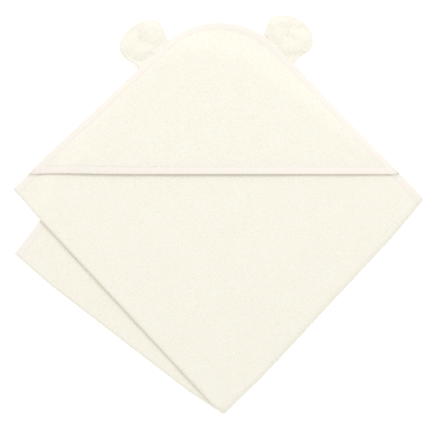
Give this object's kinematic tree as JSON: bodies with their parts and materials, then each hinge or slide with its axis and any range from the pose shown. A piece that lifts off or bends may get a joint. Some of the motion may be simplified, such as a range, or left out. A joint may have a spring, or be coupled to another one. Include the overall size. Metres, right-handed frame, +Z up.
{
  "type": "hooded baby towel",
  "caption": "Square terry baby towel lying folded in quarters, with a rounded corner hood edged in tape and stuffed round bear ears on the hood's sewn sides.",
  "frame": {"origin": "middle of the folded bundle's box, on the surface that it lies on", "axes": "+Z up, out of the hood's face; +Y from the bottom corner towards the rounded hood corner; +X to the right, along the hood's lip"},
  "size_m": [0.4948, 0.4854, 0.0301],
  "materials": {
    "terry": "matte",
    "tape": "matte",
    "thread": "matte",
    "wadding": "matte",
    "label": "matte"
  },
  "bodies": {
    "front_half": {"front_panel": "terry", "front_edge_binding": "tape", "front_inner_binding": "tape", "front_edge_stitch": "thread", "front_inner_stitch": "thread", "care_label": "label"},
    "back_half": {"back_panel": "terry", "back_edge_binding": "tape", "back_inner_binding": "tape", "back_edge_stitch": "thread", "back_inner_stitch": "thread"},
    "hood": {"hood_panel": "terry", "hood_lip_binding": "tape", "hood_lip_stitch": "thread"},
    "left_ear": {"left_ear_front": "terry", "left_ear_back": "terry", "left_ear_wadding": "wadding", "left_ear_tack": "thread"},
    "right_ear": {"right_ear_front": "terry", "right_ear_back": "terry", "right_ear_wadding": "wadding", "right_ear_tack": "thread"}
  },
  "joints": [
    {"name": "back_half_unfold", "type": "hinge", "parent": "front_half", "child": "back_half", "pos_m": [0.00602, -0.24423, 0.008], "axis": [-0.6817, -0.7317, 0], "range_deg": [0, 179]},
    {"name": "hood_lift", "type": "hinge", "parent": "front_half", "child": "hood", "pos_m": [0.00602, 0.22947, 0.0197], "axis": [-1, 0, 0], "range_deg": [0, 10]},
    {"name": "left_ear_flop", "type": "hinge", "parent": "front_half", "child": "left_ear", "pos_m": [-0.08044, 0.19541, 0.01225], "axis": [0.7314, 0.682, 0], "range_deg": [-12, 85], "stiffness_Nm_per_rad": 0.05},
    {"name": "right_ear_flop", "type": "hinge", "parent": "front_half", "child": "right_ear", "pos_m": [0.07865, 0.20296, 0.00835], "axis": [0.694, -0.7199, 0], "range_deg": [-5, 85], "stiffness_Nm_per_rad": 0.05}
  ]
}
